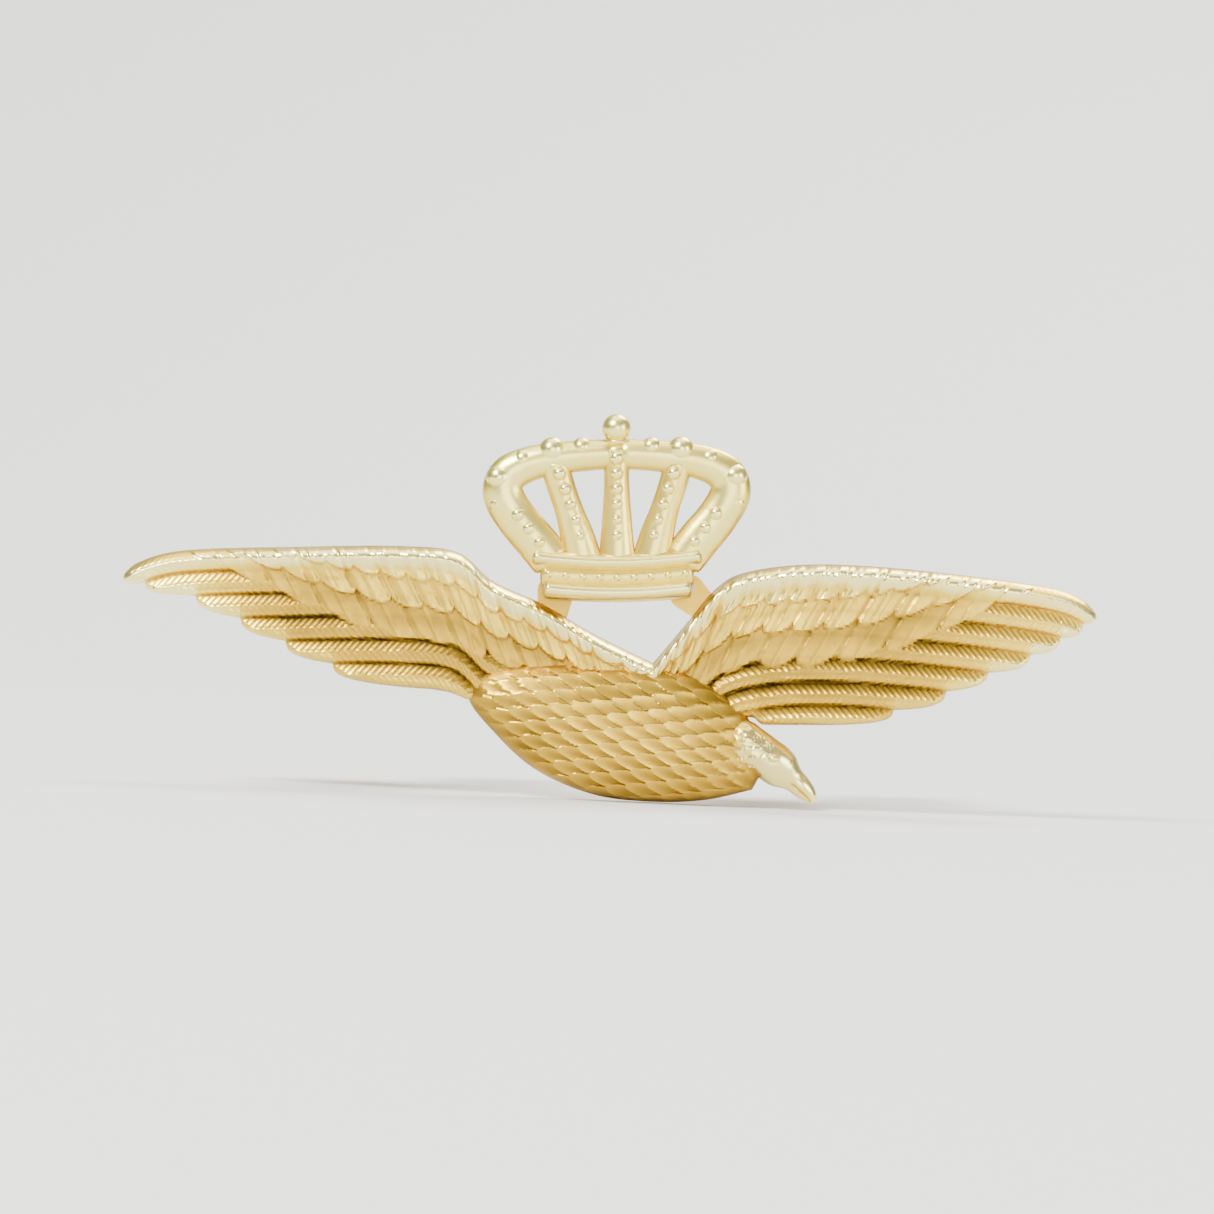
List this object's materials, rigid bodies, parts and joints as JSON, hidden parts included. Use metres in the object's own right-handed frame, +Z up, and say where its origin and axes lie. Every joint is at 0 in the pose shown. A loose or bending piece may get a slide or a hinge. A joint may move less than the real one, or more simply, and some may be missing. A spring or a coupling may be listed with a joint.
{
  "type": "pilot wings pin",
  "caption": "Small brass flying bird with a pierced arched crown between its wings, on two pointed posts held by ball-lock keepers.",
  "frame": {"origin": "the point on the flat back half-way between the two posts", "axes": "+X along the wings to the wearer's left as worn (the viewer's right), +Y out of the back along the posts, +Z up as worn"},
  "size_m": [0.0382, 0.0125, 0.0151],
  "materials": {
    "struck_brass": "struck, brushed along the feathers and lightly worn",
    "pale_brass": "struck and polished",
    "solder": "dull grey, flowed",
    "drawn_brass": "turned, satin",
    "nickel_steel": "nickel plated",
    "spring_steel": "drawn wire"
  },
  "bodies": {
    "root": {"bird": "struck_brass", "crown": "pale_brass", "crown_solder": "solder", "left_post": "drawn_brass", "left_post_solder": "solder", "right_post": "drawn_brass", "right_post_solder": "solder"},
    "left_keeper": {"left_keeper_base": "drawn_brass", "left_end_ring": "nickel_steel", "left_keeper_spring": "spring_steel"},
    "left_lock": {"left_ball_cage": "nickel_steel", "left_lock_balls": "nickel_steel"},
    "left_cap": {"left_keeper_cap": "drawn_brass"},
    "right_keeper": {"right_keeper_base": "drawn_brass", "right_end_ring": "nickel_steel", "right_keeper_spring": "spring_steel"},
    "right_lock": {"right_ball_cage": "nickel_steel", "right_lock_balls": "nickel_steel"},
    "right_cap": {"right_keeper_cap": "drawn_brass"}
  },
  "joints": [
    {"name": "left_keeper_slide", "type": "slide", "parent": "root", "child": "left_keeper", "axis": [0, 1, 0], "range_m": [-0.0022, 0.014]},
    {"name": "left_cap_pull", "type": "slide", "parent": "left_keeper", "child": "left_lock", "axis": [0, 1, 0], "range_m": [0, 0.001], "stiffness_N_per_m": 300, "springref_m": -0.0015, "deforming": ["left_keeper_spring"]},
    {"name": "left_cap_spin", "type": "hinge", "parent": "left_lock", "child": "left_cap", "pos_m": [-0.008, 0.009, 0], "axis": [0, 1, 0], "continuous": true},
    {"name": "right_keeper_slide", "type": "slide", "parent": "root", "child": "right_keeper", "axis": [0, 1, 0], "range_m": [-0.0022, 0.014]},
    {"name": "right_cap_pull", "type": "slide", "parent": "right_keeper", "child": "right_lock", "axis": [0, 1, 0], "range_m": [0, 0.001], "stiffness_N_per_m": 300, "springref_m": -0.0015, "deforming": ["right_keeper_spring"]},
    {"name": "right_cap_spin", "type": "hinge", "parent": "right_lock", "child": "right_cap", "pos_m": [0.008, 0.009, 0], "axis": [0, 1, 0], "continuous": true}
  ]
}
